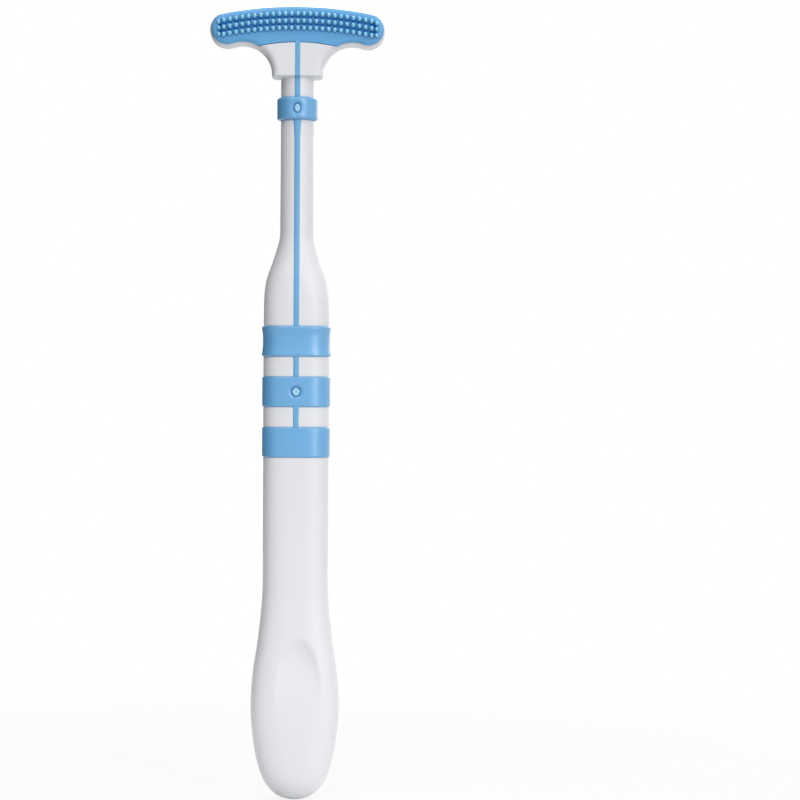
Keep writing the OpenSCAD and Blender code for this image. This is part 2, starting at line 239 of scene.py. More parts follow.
def scoop(x, z, face):
    """Depth of the thumb scoop: steep under its arched top, fading out towards its foot.
    Seen square on, the scoop of either face lies a little to the right of its middle."""
    half = (SCOOP_TOP if z > SCOOP_Z else SCOOP_FOOT) - SCOOP_Z
    reach = hypot((x + face * SCOOP_X) / SCOOP_WIDE, (z - SCOOP_Z) / half)
    fade = smooth((z - SCOOP_FOOT) / (SCOOP_TOP - SCOOP_FOOT)) ** SCOOP_FADE_POWER
    return SCOOP_DEPTH * fade * max(1 - reach ** SCOOP_ARCH_POWER, 0)


def surface_point(z, out, angle):
    """Point round the handle's section at height z, with the section grown by out."""
    a, b, n = section(z)
    c, s = cos(angle), sin(angle)
    r = (abs(c / (a + out)) ** n + abs(s / (b + out)) ** n) ** (-1 / n)
    x, y = r * c, r * s
    return (x, y - sign(y) * scoop(x, z, sign(y)), z)


def front_y(x, z):
    """Front face of the handle above the scoops."""
    a, b, n = section(z)
    return -b * (1 - min(abs(x) / a, 1) ** n) ** (1 / n)


# Outlines of the head: its right half from the end to the middle, with heights from the head's
# top. s draws the outer edge in, e draws the arched edge between pad and stem block in.

end_x = HEAD_WIDTH / 2 - END_RADIUS
end_z = -CROWN_RADIUS + sqrt((CROWN_RADIUS - END_RADIUS) ** 2 - end_x ** 2)
throat_x = STEM_WIDTH / 2 + THROAT_RADIUS
throat_z = end_z - sqrt((END_RADIUS + THROAT_RADIUS) ** 2 - (end_x - throat_x) ** 2)
arch_z = -PAD_HEIGHT - ARCH_RADIUS
crown_angle = atan2(end_z + CROWN_RADIUS, end_x)
throat_angle = atan2(end_z - throat_z, end_x - throat_x)


def around(x, z, r, angle):
    return (x + r * cos(angle), z + r * sin(angle))


def crown_height(x, s):
    if x > end_x + (END_RADIUS - s) * cos(crown_angle):
        return end_z + sqrt(max((END_RADIUS - s) ** 2 - (x - end_x) ** 2, 0))
    return -CROWN_RADIUS + sqrt((CROWN_RADIUS - s) ** 2 - x * x)


def arch_height(x, e):
    return arch_z + sqrt((ARCH_RADIUS + e) ** 2 - x * x)


def arch_angle(s, e):
    """Angle on the throat's arc where the arch crosses it."""
    r1 = ARCH_RADIUS + e
    r2 = THROAT_RADIUS + s
    vx, vz = throat_x, throat_z - arch_z
    d = hypot(vx, vz)
    t = (r1 * r1 - r2 * r2 + d * d) / (2 * d)
    h = sqrt(r1 * r1 - t * t)
    return atan2((t * vz + h * vx) / d - vz, (t * vx - h * vz) / d - vx)


def end_edge(s):
    return [
        around(end_x, end_z, END_RADIUS - s, a)
        for a in steps(0, throat_angle - pi, ARC_STEPS)
    ]


def throat_edge(s, first, last):
    return [
        around(throat_x, throat_z, THROAT_RADIUS + s, a)
        for a in steps(first, last, ARC_STEPS)
    ]


def stem_edge(s, lift):
    """Corner and foot of the stem block, the foot raised by lift."""
    r = max(CORNER_RADIUS - s, SHARPEST_CORNER)
    x = STEM_WIDTH / 2 - s - r
    corner = [
        around(x, lift + r - HEAD_HEIGHT, r, a)
        for a in steps(-SEAM, SEAM - pi / 2, CORNER_STEPS)
    ]
    return corner + [(v, lift - HEAD_HEIGHT) for v in steps(corner[-1][0], 0, FOOT_STEPS)[1:]]


def head_half(s):
    edge = end_edge(s) + throat_edge(s, throat_angle, pi - SEAM)[1:] + stem_edge(s, s)
    return [(x, z, crown_height(x, s)) for x, z in edge]


def pad_half(s, e):
    meet = arch_angle(s, e)
    x = throat_x + (THROAT_RADIUS + s) * cos(meet)
    arch = [(v, arch_height(v, e)) for v in steps(x, 0, ARCH_STEPS)[1:]]
    edge = end_edge(s) + throat_edge(s, throat_angle, meet)[1:] + arch
    return [(x, z, crown_height(x, s)) for x, z in edge]


def stem_half(s, e, lift):
    edge = throat_edge(s, arch_angle(s, -e), pi - SEAM) + stem_edge(s, lift)
    return [(x, z, arch_height(x, -e)) for x, z in edge]


def edge_point(a, s):
    """Place on the head's outline drawn in by s: along the crown up to the angle where it ends,
    then round the end, and then straight down."""
    side = sign(a)
    turn = pi / 2 - abs(a)
    if turn > crown_angle:
        return ((CROWN_RADIUS - s) * sin(a), (CROWN_RADIUS - s) * cos(a) - CROWN_RADIUS)
    if turn > 0:
        return (side * (end_x + (END_RADIUS - s) * cos(turn)), end_z + (END_RADIUS - s) * sin(turn))
    return (side * (end_x + END_RADIUS - s), end_z + turn * HOOK_RADIUS)


# Mesh shells

class Shell:
    """Points in millimetres and faces of one piece, collected shell by shell."""

    def __init__(self):
        self.points = []
        self.faces = []

    def rings(self, rings, closed=False):
        """A tube through rings of equal length; closed joins the last ring to the first."""
        n = len(rings[0])
        base = len(self.points)
        for ring in rings:
            self.points.extend(ring)
        count = len(rings)
        for k in range(count if closed else count - 1):
            a, b = base + k * n, base + (k + 1) % count * n
            for i in range(n):
                j = (i + 1) % n
                self.faces.append((a + i, a + j, b + j, b + i))
        return base

    def fan(self, base, n, apex):
        """Triangles from the ring of n points that starts at base to an apex."""
        self.points.append(apex)
        top = len(self.points) - 1
        for i in range(n):
            self.faces.append((base + i, base + (i + 1) % n, top))

    def tube(self, rings, low_apex, high_apex):
        """A tube closed by a fan at each end."""
        n = len(rings[0])
        base = self.rings(rings)
        self.fan(base, n, low_apex)
        self.fan(base + (len(rings) - 1) * n, n, high_apex)

    def slab(self, layers):
        """A slab through half outlines, each layer given as (y, half outline)."""
        rings = []
        for y, half in layers:
            lower = [(x, y, low + HEAD_TOP) for x, low, high in half]
            upper = [(x, y, high + HEAD_TOP) for x, low, high in half]
            left = [(-x, y, z) for x, y, z in lower[-2::-1] + upper[1:]]
            rings.append(lower + left + upper[-2:0:-1])
        m = len(rings[0])
        base = self.rings(rings)
        for start in (base, base + (len(rings) - 1) * m):
            for j in range(m // 2):
                corners = (j, j + 1, (m - j - 1) % m, (m - j) % m)
                self.faces.append(tuple(dict.fromkeys(start + c for c in corners)))


def make_piece(name, shell, material, slot, *nodes):
    mesh = bpy.data.meshes.new(name)
    mesh.from_pydata([tuple(v * MM for v in p) for p in shell.points], [], shell.faces)
    work = bmesh.new()
    work.from_mesh(mesh)
    bmesh.ops.recalc_face_normals(work, faces=work.faces)
    for face in work.faces:
        face.smooth = True
    work.to_mesh(mesh)
    work.free()
    piece = bpy.data.objects.new(name, mesh)
    bpy.context.collection.objects.link(piece)
    mesh.materials.append(material)
    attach(piece, "root")
    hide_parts(*nodes)
    return piece


# Node helpers

def map_range(tree, value, source, target=(0, 1), curve="SMOOTHSTEP"):
    """A value mapped from the source span to the target span."""
    node = tree.nodes.new("ShaderNodeMapRange")
    node.interpolation_type = curve
    labels = ("From Min", "From Max", "To Min", "To Max")
    for label, number in zip(labels, (*source, *target)):
        node.inputs[label].default_value = number
    tree.links.new(value, node.inputs["Value"])
    return node.outputs["Result"]


def colour_mix(tree, factor):
    node = tree.nodes.new("ShaderNodeMix")
    node.data_type = "RGBA"
    tree.links.new(factor, node.inputs["Factor"])
    return node


def calculate(tree, operation, first, second):
    node = tree.nodes.new("ShaderNodeMath")
    node.operation = operation
    tree.links.new(first, node.inputs[0])
    tree.links.new(second, node.inputs[1])
    return node.outputs[0]


def mix_to_output(tree, factor, first, second, output_kind):
    """Ends a node tree with a mix of two shaders."""
    mix = tree.nodes.new("ShaderNodeMixShader")
    tree.links.new(factor, mix.inputs["Fac"])
    tree.links.new(first, mix.inputs[1])
    tree.links.new(second, mix.inputs[2])
    output = tree.nodes.new(output_kind)
    tree.links.new(mix.outputs["Shader"], output.inputs["Surface"])


def seen_rays(tree):
    """Factor that is 1 for camera, glossy and transmission rays."""
    path = tree.nodes.new("ShaderNodeLightPath")
    total = path.outputs["Is Camera Ray"]
    for name in ("Is Glossy Ray", "Is Transmission Ray"):
        total = calculate(tree, "MAXIMUM", total, path.outputs[name])
    return total


# Materials; noise is given as (scale, detail)

PLASTIC_IOR = 1.5
CLOUD_NOISE = (90, 4)
GLOSS_NOISE = (260, 3)
GLOSS_SPAN = (0.3, 0.7)  # the stretch of the noise that the roughness follows
HARD_SPECKLE = 2600
SOFT_SPECKLE = 3400
SPECKLE_DETAIL = 2
SPECKLE_HEIGHT = 0.03 * MM
# Painted shade at the foot of the nubs fades out over this stretch of their length
FOOT_SHADE_SPAN = (0.08, 0.7)  # the stretch of a nub's length over which its root colour gives way


def plastic(name, pale, deep, rough, relief, specular, speckle=SOFT_SPECKLE, root=None):
    """Moulded plastic: a cloudy colour between two shades, uneven gloss and a fine surface texture.
    A root colour of painted shade takes over towards the foot of the nubs."""
    material = bpy.data.materials.new(name)
    material.use_nodes = True
    tree = material.node_tree
    nodes, links = tree.nodes, tree.links
    shader = nodes["Principled BSDF"]
    shader.inputs["IOR"].default_value = PLASTIC_IOR
    shader.inputs["Specular IOR Level"].default_value = specular
    place = nodes.new("ShaderNodeTexCoord").outputs["Object"]

    def noise(scale, detail):
        node = nodes.new("ShaderNodeTexNoise")
        node.inputs["Scale"].default_value = scale
        node.inputs["Detail"].default_value = detail
        links.new(place, node.inputs["Vector"])
        return node.outputs["Fac"]

    cloud = colour_mix(tree, noise(*CLOUD_NOISE))
    cloud.inputs["A"].default_value = (*deep, 1)
    cloud.inputs["B"].default_value = (*pale, 1)
    colour = cloud.outputs["Result"]
    # Painted shade: the root colour darkens the foot of each nub and the strips between the nubs
    if root:
        parts = nodes.new("ShaderNodeSeparateXYZ")
        links.new(place, parts.inputs["Vector"])
        foot_to_tip = [-(PAD_FRONT + share * NUB_LENGTH) * MM for share in FOOT_SHADE_SPAN]
        fade = colour_mix(tree, map_range(tree, parts.outputs["Y"], foot_to_tip))
        fade.inputs["A"].default_value = (*root, 1)
        links.new(colour, fade.inputs["B"])
        colour = fade.outputs["Result"]
    links.new(colour, shader.inputs["Base Color"])

    gloss = map_range(tree, noise(*GLOSS_NOISE), GLOSS_SPAN, rough, "LINEAR")
    links.new(gloss, shader.inputs["Roughness"])

    bump = nodes.new("ShaderNodeBump")
    bump.inputs["Strength"].default_value = relief
    bump.inputs["Distance"].default_value = SPECKLE_HEIGHT
    links.new(noise(speckle, SPECKLE_DETAIL), bump.inputs["Height"])
    links.new(bump.outputs["Normal"], shader.inputs["Normal"])
    return material


white = plastic(
    "white_gloss_plastic", pale=(0.855, 0.865, 0.89), deep=(0.835, 0.845, 0.872),
    rough=(0.36, 0.44), relief=0.12, specular=0.4, speckle=HARD_SPECKLE,
)
# The pad's blue is deeper than the bands': partly painted shade for the dimmer light on the head,
# partly a more saturated tone
pad_blue_tone_and_shade = plastic(
    "blue_pad_rubber_tone_and_painted_shade", pale=(0.112, 0.415, 0.775), deep=(0.1, 0.39, 0.75),
    rough=(0.34, 0.42), relief=0.3, specular=0.8,
)
blue = plastic(
    "blue_soft_rubber", pale=(0.148, 0.445, 0.785), deep=(0.134, 0.42, 0.76),
    rough=(0.3, 0.37), relief=0.3, specular=1.0,
)
strip_blue = plastic(
    "blue_strip_rubber", pale=(0.155, 0.455, 0.765), deep=(0.14, 0.43, 0.74),
    rough=(0.38, 0.46), relief=0.3, specular=0.6,
)
# The nubs are painted far lighter than their rubber, a painted highlight on their tips; their root
# colour is painted shade at their feet
nub_blue_painted_light = plastic(
    "blue_nub_painted_highlight_and_shade", pale=(0.34, 0.82, 0.98), deep=(0.29, 0.77, 0.96),
    rough=(0.17, 0.22), relief=0.2, specular=0.7, root=(0.008, 0.21, 0.58),
)
# The gate's nib is painted a lighter blue than the rubber: a painted highlight
gate_blue_painted_highlight = plastic(
    "blue_gate_painted_highlight", pale=(0.42, 0.74, 0.92), deep=(0.36, 0.7, 0.9),
    rough=(0.2, 0.28), relief=0.2, specular=0.8,
)


# White moulding: handle with its grooves, head plate and stem block

TIP_LENGTH = 22  # the part of the butt whose levels crowd towards its tip
TIP_STEPS = 26
BUTT_LEVELS = (22.7, 42, 28)  # first, last and steps
GRIP_FOOT = 43
GRIP_STEPS = 26
BAND_MARGIN = 0.9
BETWEEN_BANDS_STEPS = 3
SHOULDER_MARGIN = 1.2
SHOULDER_STEPS = 6
NECK_FOOT = 133
NECK_STEPS = 12
GROOVE_MARGIN = 1
TOP_STEPS = 5
GROOVE_LIP = ((0.35, 0), (0.16, 0.02), (0.05, 0.06), (0, 0.12))  # distance outside it, drop

BACK_EDGE_IN = 1.2
BACK_EDGE_DEEP = 1.5
BACK_EDGE_STEPS = 10
FRONT_EDGE_IN = 0.35
FRONT_EDGE_DEEP = 1.5
FRONT_EDGE_STEPS = 6
FRONT_EDGE_POWER = 1.5
FLAT_MARGIN = 0.15  # a last outline inside each rounded edge keeps the flat face flat

# The stem block's front face: its sides and foot round over, its arched upper edge has a small
# radius. Each pair is how far that edge draws in at the back and at the front of the rounding.
STEM_ROUND = 1.4
STEM_ROUND_STEPS = 10
STEM_SIDE = (0.3, 1.8)
STEM_ARCH = (0, 0.3)
STEM_FOOT = (0.03, 0.5)
STEM_MARGIN = 0.1
STEM_SINK = 2.8
STEM_BURIED = (0.4, 0, 0.06)


def flush(heights):
    """Levels on the handle's own surface."""
    return [(z, 0) for z in heights]


def groove(low, high, depth):
    """Levels through a groove with softened edges."""
    into = [(low - away, -drop) for away, drop in GROOVE_LIP]
    out = [(high + away, -drop) for away, drop in reversed(GROOVE_LIP)]
    return into + [(low, -depth), (high, -depth)] + out


def handle_levels():
    """Levels of the handle as (height, how far out), from the butt up."""
    tip = [TIP_LENGTH * (i / TIP_STEPS) ** 2 for i in range(1, TIP_STEPS + 1)]
    levels = flush(tip + steps(*BUTT_LEVELS))
    levels += flush(steps(GRIP_FOOT, bands[0][0] - GROOVE_MARGIN, GRIP_STEPS))
    for i, (low, high) in enumerate(bands):
        if i > 0:
            first = bands[i - 1][1] + BAND_MARGIN
            levels += flush(steps(first, low - BAND_MARGIN, BETWEEN_BANDS_STEPS))
        levels += groove(low, high, BAND_DEPTH)
    levels += flush(steps(bands[-1][1] + SHOULDER_MARGIN, FLARE_LOW, SHOULDER_STEPS)[:-1])
    levels += flush(steps(FLARE_LOW, FLARE_HIGH, FLARE_STEPS))
    levels += flush(steps(NECK_FOOT, collar_bottom - GROOVE_MARGIN, NECK_STEPS))
    levels += groove(collar_bottom, collar_top, COLLAR_DEPTH)
    return levels + flush(steps(collar_top + GROOVE_MARGIN, BODY_TOP, TOP_STEPS))


def front_rounding(front, deep, count):
    """Levels of a rounded front edge: y, and how near the flat face it is, from 1 down to 0."""
    return [(deep * (1 - cos(a)) - front, 1 - sin(a)) for a in steps(0, pi / 2, count)]


body = Shell()
handle = [
    [surface_point(z, out, a) for a in even_angles(HANDLE_SIDES)] for z, out in handle_levels()
]
body.tube(handle, (0, 0, 0), (0, 0, BODY_TOP))

head_layers = [(-SEAT_FRONT, head_half(FRONT_EDGE_IN + FLAT_MARGIN))]
for t in steps(1, 0, FRONT_EDGE_STEPS):
    y = FRONT_EDGE_DEEP * (1 - t) - SEAT_FRONT
    head_layers.append((y, head_half(FRONT_EDGE_IN * t ** FRONT_EDGE_POWER)))
for a in steps(pi / 2, 0, BACK_EDGE_STEPS):
    y = HEAD_BACK - BACK_EDGE_DEEP * (1 - cos(a))
    head_layers.append((y, head_half(BACK_EDGE_IN * (1 - sin(a)))))
head_layers.append((HEAD_BACK, head_half(BACK_EDGE_IN + FLAT_MARGIN)))
body.slab(head_layers)

stem_face = stem_half(
    STEM_SIDE[1] + FLAT_MARGIN, STEM_ARCH[1] + STEM_MARGIN, STEM_FOOT[1] + STEM_MARGIN
)
stem_layers = [(-STEM_FRONT, stem_face)]
for y, near in front_rounding(STEM_FRONT, STEM_ROUND, STEM_ROUND_STEPS):
    drawn_in = [between(pair, near) for pair in (STEM_SIDE, STEM_ARCH, STEM_FOOT)]
    stem_layers.append((y, stem_half(*drawn_in)))
stem_layers.append((-STEM_SINK, stem_half(*STEM_BURIED)))
body.slab(stem_layers)
make_piece("white_moulding", body, white, "rigid_white", "body_moulding")


# Tongue pad: a flat field with a rounded edge that slopes to the rim of the head

PAD_EDGE_IN = (0.35, 1.3)
PAD_ARCH_IN = (0, 0.05)
PAD_ARCH_MARGIN = 0.02
PAD_EDGE_DEEP = 0.75
PAD_EDGE_STEPS = 12
PAD_SINK = 0.2

pad_face = pad_half(PAD_EDGE_IN[1] + FLAT_MARGIN, PAD_ARCH_IN[1] + PAD_ARCH_MARGIN)
pad_layers = [(-PAD_FRONT, pad_face)]
for y, near in front_rounding(PAD_FRONT, PAD_EDGE_DEEP, PAD_EDGE_STEPS):
    pad_layers.append((y, pad_half(between(PAD_EDGE_IN, near), between(PAD_ARCH_IN, near))))
pad_layers.append((PAD_SINK - SEAT_FRONT, pad_half(PAD_EDGE_IN[0], PAD_ARCH_IN[0])))
pad = Shell()
pad.slab(pad_layers)
make_piece("pad_field", pad, pad_blue_tone_and_shade, "soft_blue", "tongue_pad")


# Nubs: bullet shapes with an oval foot and a small fillet where they leave the pad

NUB_SIDES = 22
NUB_SINK = 0.3
NUB_LEVELS = (0, 0.04, 0.1, 0.25, 0.4, 0.55, 0.68, 0.79, 0.88, 0.94, 0.98)
NUB_POWER = 2.2
NUB_FILLET = 0.16
NUB_FILLET_TOP = 0.1
NUB_COLUMNS = range(-SIDE_COLUMNS - 1, SIDE_COLUMNS + 2)
END_ROW_SQUEEZE = 0.85
END_NUB_SIZE = 0.88
ROW_THICKNESS = 0.35
ROW_SKIN = 0.02
ROW_REACH = 0.8  # to the next row
ROW_BORDER = 0.42  # to the outside


def nub_spot(i, row):
    """Place of a nub, its height from the top of the head, and its size."""
    at_end = abs(i) > SIDE_COLUMNS
    x = sign(i) * (SIDE_COLUMNS * COLUMN_PITCH + END_PITCH) if at_end else i * COLUMN_PITCH
    pitch = ROW_PITCH * (END_ROW_SQUEEZE if at_end else 1)
    z = row * pitch - MIDDLE_ROW_DROP - x * x / (2 * ROW_RADIUS)
    return (x, z, END_NUB_SIZE if at_end else 1)


def nub_ring(x, z, y, grow):
    return [
        (x + NUB_WIDTH / 2 * grow * cos(a), y, z + NUB_TALL / 2 * grow * sin(a))
        for a in even_angles(NUB_SIDES)
    ]


def nub_swell(level):
    fillet = NUB_FILLET * max(1 - level / NUB_FILLET_TOP, 0) ** 2
    return sqrt(1 - level ** NUB_POWER) * (1 + fillet)


def row_backing(shell, row):
    """The thin strip that carries a row of nubs, let into the pad; its face takes the nubs' root
    colour, painted shade between them.
    """
    above = ROW_BORDER if row == 1 else ROW_REACH
    below = ROW_BORDER if row == -1 else ROW_REACH
    places = [nub_spot(i, row) for i in NUB_COLUMNS]
    points = [(x, z + HEAD_TOP, squeeze) for x, z, squeeze in places]
    first, last = points[0], points[-1]
    outline = [(first[0] - ROW_BORDER, first[1])]
    outline += [(x, z + above * squeeze) for x, z, squeeze in points]
    outline += [(last[0] + ROW_BORDER, last[1])]
    outline += [(x, z - below * squeeze) for x, z, squeeze in reversed(points)]
    front = [(x, -PAD_FRONT - ROW_SKIN, z) for x, z in outline]
    back = [(x, ROW_THICKNESS - PAD_FRONT, z) for x, z in outline]
    base = shell.rings([back, front])
    count = len(outline)
    half = len(points)
    for start in (base, base + count):
        shell.faces.append((start, start + 1, start + count - 1))
        for j in range(1, half):
            corners = (j, j + 1, count - 1 - j, count - j)
            shell.faces.append(tuple(start + c for c in corners))
        shell.faces.append((start + half, start + half + 1, start + half + 2))


for row, node in ((1, "nub_row_top"), (0, "nub_row_middle"), (-1, "nub_row_bottom")):
    nubs = Shell()
    row_backing(nubs, row)
    for i in NUB_COLUMNS:
        x, drop, squeeze = nub_spot(i, row)
        z = drop + HEAD_TOP
        rings = [nub_ring(x, z, NUB_SINK - PAD_FRONT, squeeze * (1 + NUB_FILLET))]
        for level in NUB_LEVELS:
            y = -PAD_FRONT - level * NUB_LENGTH
            rings.append(nub_ring(x, z, y, squeeze * nub_swell(level)))
        nubs.tube(rings, (x, NUB_SINK - PAD_FRONT, z), (x, -PAD_FRONT - NUB_LENGTH, z))
    make_piece(node.replace("nub_row", "nubs"), nubs, nub_blue_painted_light, "soft_blue", node)


# Runners on the front of the handle: they end tucked into the bands and the collar

TUCK = 0.3
LINK_STRIP_STEPS = 8
SHOULDER_STRIP_STEPS = 12
NECK_STRIP_STEPS = 12
WEDGE_STEPS = 10
WEDGE_MARGIN = 0.5
RUNNER_EDGE = 0.3  # share of the crest's height at the runner's edges
RUNNER_POINTS = 10
RUNNER_POWER = 2.5


def runner_half_at(z):
    """Half width of the runner, which widens to a wedge under the collar."""
    return RUNNER_HALF + WEDGE_HALF * min(max(1 - (collar_bottom - z) / WEDGE_LENGTH, 0), 1)


def crest_ring(w, z, base_y, sink):
    """Section of a runner with half width w: crowned over base_y, and sunk below it."""
    ring = [(w, base_y(0) + sink, z), (-w, base_y(0) + sink, z)]
    for u in steps(-1, 1, RUNNER_POINTS):
        crown = sqrt(max(1 - abs(u) ** RUNNER_POWER, 0))
        proud = RUNNER_CREST * (RUNNER_EDGE + (1 - RUNNER_EDGE) * crown)
        ring.append((w * u, base_y(w * u) - proud, z))
    return ring


def runner_piece(name, node, heights):
    rings = [
        crest_ring(runner_half_at(z), z, lambda x, z=z: front_y(x, z), RUNNER_DEPTH)
        for z in heights
    ]
    low, high = heights[0], heights[-1]
    shell = Shell()
    shell.tube(rings, (0, front_y(0, low), low), (0, front_y(0, high), high))
    make_piece(name, shell, strip_blue, "soft_blue", node)


wedge_foot = collar_bottom - WEDGE_LENGTH
neck_strip_levels = steps(bands[2][1] - TUCK, FLARE_LOW, SHOULDER_STRIP_STEPS)[:-1]
neck_strip_levels += steps(FLARE_LOW, FLARE_HIGH, FLARE_STEPS)
neck_strip_levels += steps(FLARE_HIGH + 1, wedge_foot, NECK_STRIP_STEPS)
neck_strip_levels += steps(wedge_foot + WEDGE_MARGIN, collar_bottom + TUCK, WEDGE_STEPS)
runner_piece("neck_strip", "neck_runner", neck_strip_levels)
for name, node, (below, above) in (
    ("upper_strip", "upper_link", bands[1:]),
    ("lower_strip", "lower_link", bands[:2]),
):
    runner_piece(name, node, steps(below[1] - TUCK, above[0] + TUCK, LINK_STRIP_STEPS))


# The strip on the stem block follows the block's face, rounds its foot and runs down the neck

BLOCK_PROUD = 0.12
NECK_PROUD = 0.15
STRIP_SINK = 1.1
STRIP_END_SINK = 0.4
PAD_TUCK = 0.2
BLOCK_TOP_MARGIN = 0.4
BLOCK_FOOT_MARGIN = 0.8
BLOCK_STRIP_STEPS = 8
BEND_START = 0.35
BEND_DROP = 0.6
BEND_STEPS = 12
BEND_END = 0.5
COLLAR_STRIP_STEPS = 6

pad_foot = HEAD_TOP + arch_height(RUNNER_HALF, 0)
block_y = -STEM_FRONT - BLOCK_PROUD + RUNNER_CREST
neck_y = -blend(BODY_TOP, HALF_DEPTH) - NECK_PROUD + RUNNER_CREST
strip_path = [(pad_foot + PAD_TUCK, block_y)]
for z in steps(pad_foot - BLOCK_TOP_MARGIN, STEM_Z + BLOCK_FOOT_MARGIN, BLOCK_STRIP_STEPS):
    strip_path.append((z, block_y))
for t in steps(0, 1, BEND_STEPS):
    z = STEM_Z + BEND_START - BEND_DROP * t
    strip_path.append((z, block_y + (neck_y - block_y) * smooth(t)))
for z in steps(STEM_Z - BEND_END, collar_top - TUCK, COLLAR_STRIP_STEPS):
    strip_path.append((z, neck_y))
(first_z, first_y), (last_z, last_y) = strip_path[0], strip_path[-1]
strip = Shell()
strip.tube(
    [crest_ring(RUNNER_HALF, z, lambda x, y=y: y, STRIP_SINK) for z, y in strip_path],
    (0, first_y + STRIP_END_SINK, first_z),
    (0, last_y + STRIP_END_SINK, last_z),
)
make_piece("stem_strip", strip, strip_blue, "soft_blue", "stem_runner")


# Soft bands and collar: sleeves round the handle, two of them with the mark of the injection gate

BAND_EDGE = 0.3
COLLAR_EDGE = 0.65
SLEEVE_EDGE_START = 0.25  # angle at which a rounded edge leaves the side of its sleeve
SLEEVE_EDGE_STEPS = 7
SLEEVE_FACE_MARGIN = 0.35
SLEEVE_FACE_STEPS = 52
SADDLE_POWER = 2.5

# The finer stretch of mesh at a gate, as fine_front_angles takes it
BAND_FRONT = (radians(19), 44, 116)
COLLAR_FRONT = (radians(26), 52, 96)

# The mark, outside in: a dish, a well, a lens-shaped nib in it, and a pit in the nib.
# Each START and WALL say where the wall between two of them starts, and how wide it is.
GATE_DISH = 1.6
GATE_DISH_DEEP = 0.12
GATE_DISH_START = 0.06
GATE_DISH_WALL = 0.24
GATE_TAIL_SLANT = 0.12
GATE_TAIL_SOFTNESS = 0.8
GATE_WELL = 1.0
GATE_WELL_DEEP = 0.6
GATE_WELL_START = 0.04
GATE_WELL_WALL = 0.14
GATE_STRETCH = 1.25
GATE_NIB = 0.68
GATE_NIB_TALL = 1.38
GATE_NIB_POWER = 1.6
GATE_NIB_PROUD = 0.05
GATE_NIB_START = 1.12
GATE_NIB_WALL = 0.24
# Reach within which the nib takes the colour of its painted highlight
GATE_NIB_HIGHLIGHT = 1.05
GATE_PIT = 0.15
GATE_PIT_DEEP = 0.2
GATE_PIT_START = 0.04
GATE_PIT_WALL = 0.12
BAND_GATE_WIDE = 1.28


def gate_dish(x, z, tail):
    """How far a place lies inside the dish: round, with a tail that narrows to a point below it."""
    inside = GATE_DISH - hypot(x, z)
    if z < 0 and tail > GATE_DISH:
        in_tail = GATE_DISH * (1 + z / tail) - abs(x - GATE_TAIL_SLANT * z)
        inside = max(inside, in_tail * GATE_TAIL_SOFTNESS)
    return inside


def nib_reach(x, z):
    """1 at the edge of the lens-shaped nib, less inside it."""
    p = GATE_NIB_POWER
    return ((abs(x) / GATE_NIB) ** p + (abs(z) / (GATE_NIB * GATE_NIB_TALL)) ** p) ** (1 / p)


def gate_relief(x, z, tail, wide):
    """Height of the mark; wide stretches the well and what is in it sideways."""
    dish = GATE_DISH_DEEP * smooth((gate_dish(x, z, tail) + GATE_DISH_START) / GATE_DISH_WALL)
    x /= wide
    d = hypot(x, z / GATE_STRETCH)
    well = GATE_WELL_DEEP * smooth((GATE_WELL + GATE_WELL_START - d) / GATE_WELL_WALL)
    nib_height = GATE_WELL_DEEP + GATE_DISH_DEEP + GATE_NIB_PROUD
    nib = nib_height * smooth((GATE_NIB_START - nib_reach(x, z)) / GATE_NIB_WALL)
    pit = GATE_PIT_DEEP * smooth((GATE_PIT + GATE_PIT_START - hypot(x, z)) / GATE_PIT_WALL)
    return nib - dish - well - pit


def rounded_profile(low, high, top, middle, depth, radius):
    """Closed profile of a sleeve: rounded edges, and a saddle down to the middle height."""
    edge = [
        (radius * (1 - cos(a)), top - radius * (1 - sin(a)))
        for a in steps(SLEEVE_EDGE_START, pi / 2, SLEEVE_EDGE_STEPS)
    ]
    half = (high - low) / 2
    first, last = radius + SLEEVE_FACE_MARGIN, 2 * half - radius - SLEEVE_FACE_MARGIN
    across = []
    for t in steps(first, last, SLEEVE_FACE_STEPS):
        bow = abs(t - half) / (half - radius - SLEEVE_FACE_MARGIN)
        across.append((low + t, middle + (top - middle) * bow ** SADDLE_POWER))
    rising = [(low + d, out) for d, out in edge]
    falling = [(high - d, out) for d, out in reversed(edge)]
    return [(low, -depth)] + rising + across + falling + [(high, -depth)]


def sleeve_piece(name, node, profile, angles, gate_z=None, tail=0, wide=1):
    """A sleeve round the handle, with the mark of a gate at height gate_z if one is given."""
    rings = []
    for z, out in profile:
        ring = []
        for a in angles:
            lift = 0
            if gate_z is not None and out > 0 and sin(a) < 0:
                x = surface_point(z, out, a)[0]
                lift = gate_relief(x, z - gate_z, tail, wide)
            ring.append(surface_point(z, out + lift, a))
        rings.append(ring)
    shell = Shell()
    shell.rings(rings, closed=True)
    piece = make_piece(name, shell, blue, "soft_blue", node)
    # Faces of the nib take the lighter blue of the painted highlight
    if gate_z is not None:
        nib_highlight_index = len(piece.data.materials)
        piece.data.materials.append(gate_blue_painted_highlight)
        for face in piece.data.polygons:
            x, y, z = face.center / MM
            if y < 0 and nib_reach(x / wide, z - gate_z) < GATE_NIB_HIGHLIGHT:
                face.material_index = nib_highlight_index


for node, (low, high) in zip(BAND_NODES, bands):
    lip = UPPER_LIP if node == "upper_grip_band" else 0
    profile = rounded_profile(
        low, high, BAND_PROUD + lip, BAND_PROUD - lip, BAND_DEPTH, BAND_EDGE
    )
    name = node.replace("_grip", "")
    if node == "middle_grip_band":
        angles = fine_front_angles(*BAND_FRONT)
        sleeve_piece(name, node, profile, angles, (low + high) / 2, wide=BAND_GATE_WIDE)
    else:
        sleeve_piece(name, node, profile, even_angles(HANDLE_SIDES))

